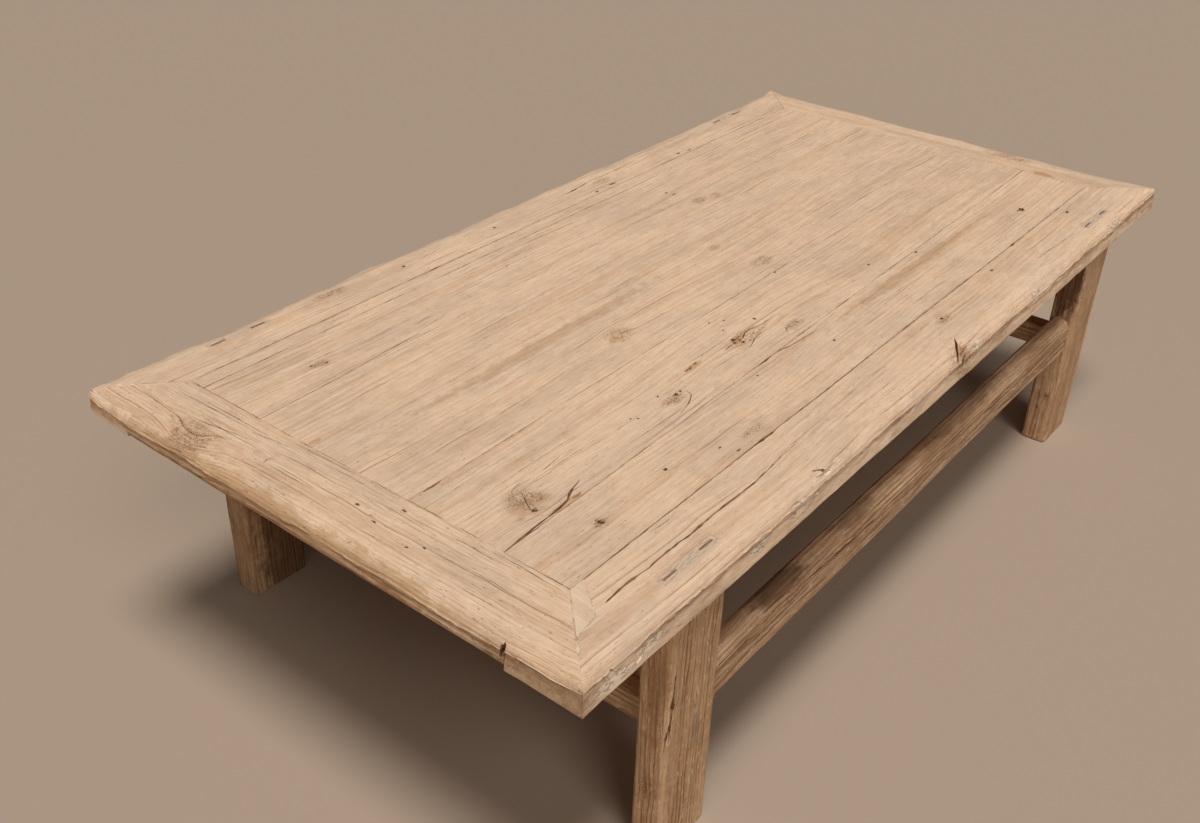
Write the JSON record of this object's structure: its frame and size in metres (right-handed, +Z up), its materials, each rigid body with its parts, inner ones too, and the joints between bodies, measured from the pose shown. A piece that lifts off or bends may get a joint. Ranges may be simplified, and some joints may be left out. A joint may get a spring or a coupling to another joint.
{
  "type": "kang table",
  "caption": "Low, wide table of pale weathered wood: a framed board top with mitred corners on slab legs tied by stretchers, for sitting round or setting things on.",
  "frame": {"origin": "on the floor under the middle of the top", "axes": "+X along the table, +Y across it to the rear, +Z up"},
  "size_m": [1.69, 0.85, 0.437],
  "materials": {
    "top_wood": "bare old elm, sanded pale and left dry, with cracks and knots",
    "leg_wood": "bare old elm, darker and drier, with straight open grain",
    "stretcher_wood": "bare old elm with deep grain grooves and a rounded upper side",
    "hidden_wood": "rough sawn old elm"
  },
  "bodies": {
    "root": {"front_rail": "top_wood", "rear_rail": "top_wood", "left_rail": "top_wood", "right_rail": "top_wood", "corner_patch": "top_wood", "front_board": "top_wood", "middle_board": "top_wood", "broad_board": "top_wood", "rear_board": "top_wood", "rear_strip": "top_wood", "front_left_leg": "leg_wood", "front_right_leg": "leg_wood", "rear_left_leg": "leg_wood", "rear_right_leg": "leg_wood", "front_stretcher": "stretcher_wood", "rear_stretcher": "stretcher_wood", "left_stretcher": "stretcher_wood", "right_stretcher": "stretcher_wood", "left_batten": "hidden_wood", "centre_batten": "hidden_wood", "right_batten": "hidden_wood", "corner_pegs": "hidden_wood", "tenon_wedges": "hidden_wood"}
  },
  "joints": []
}
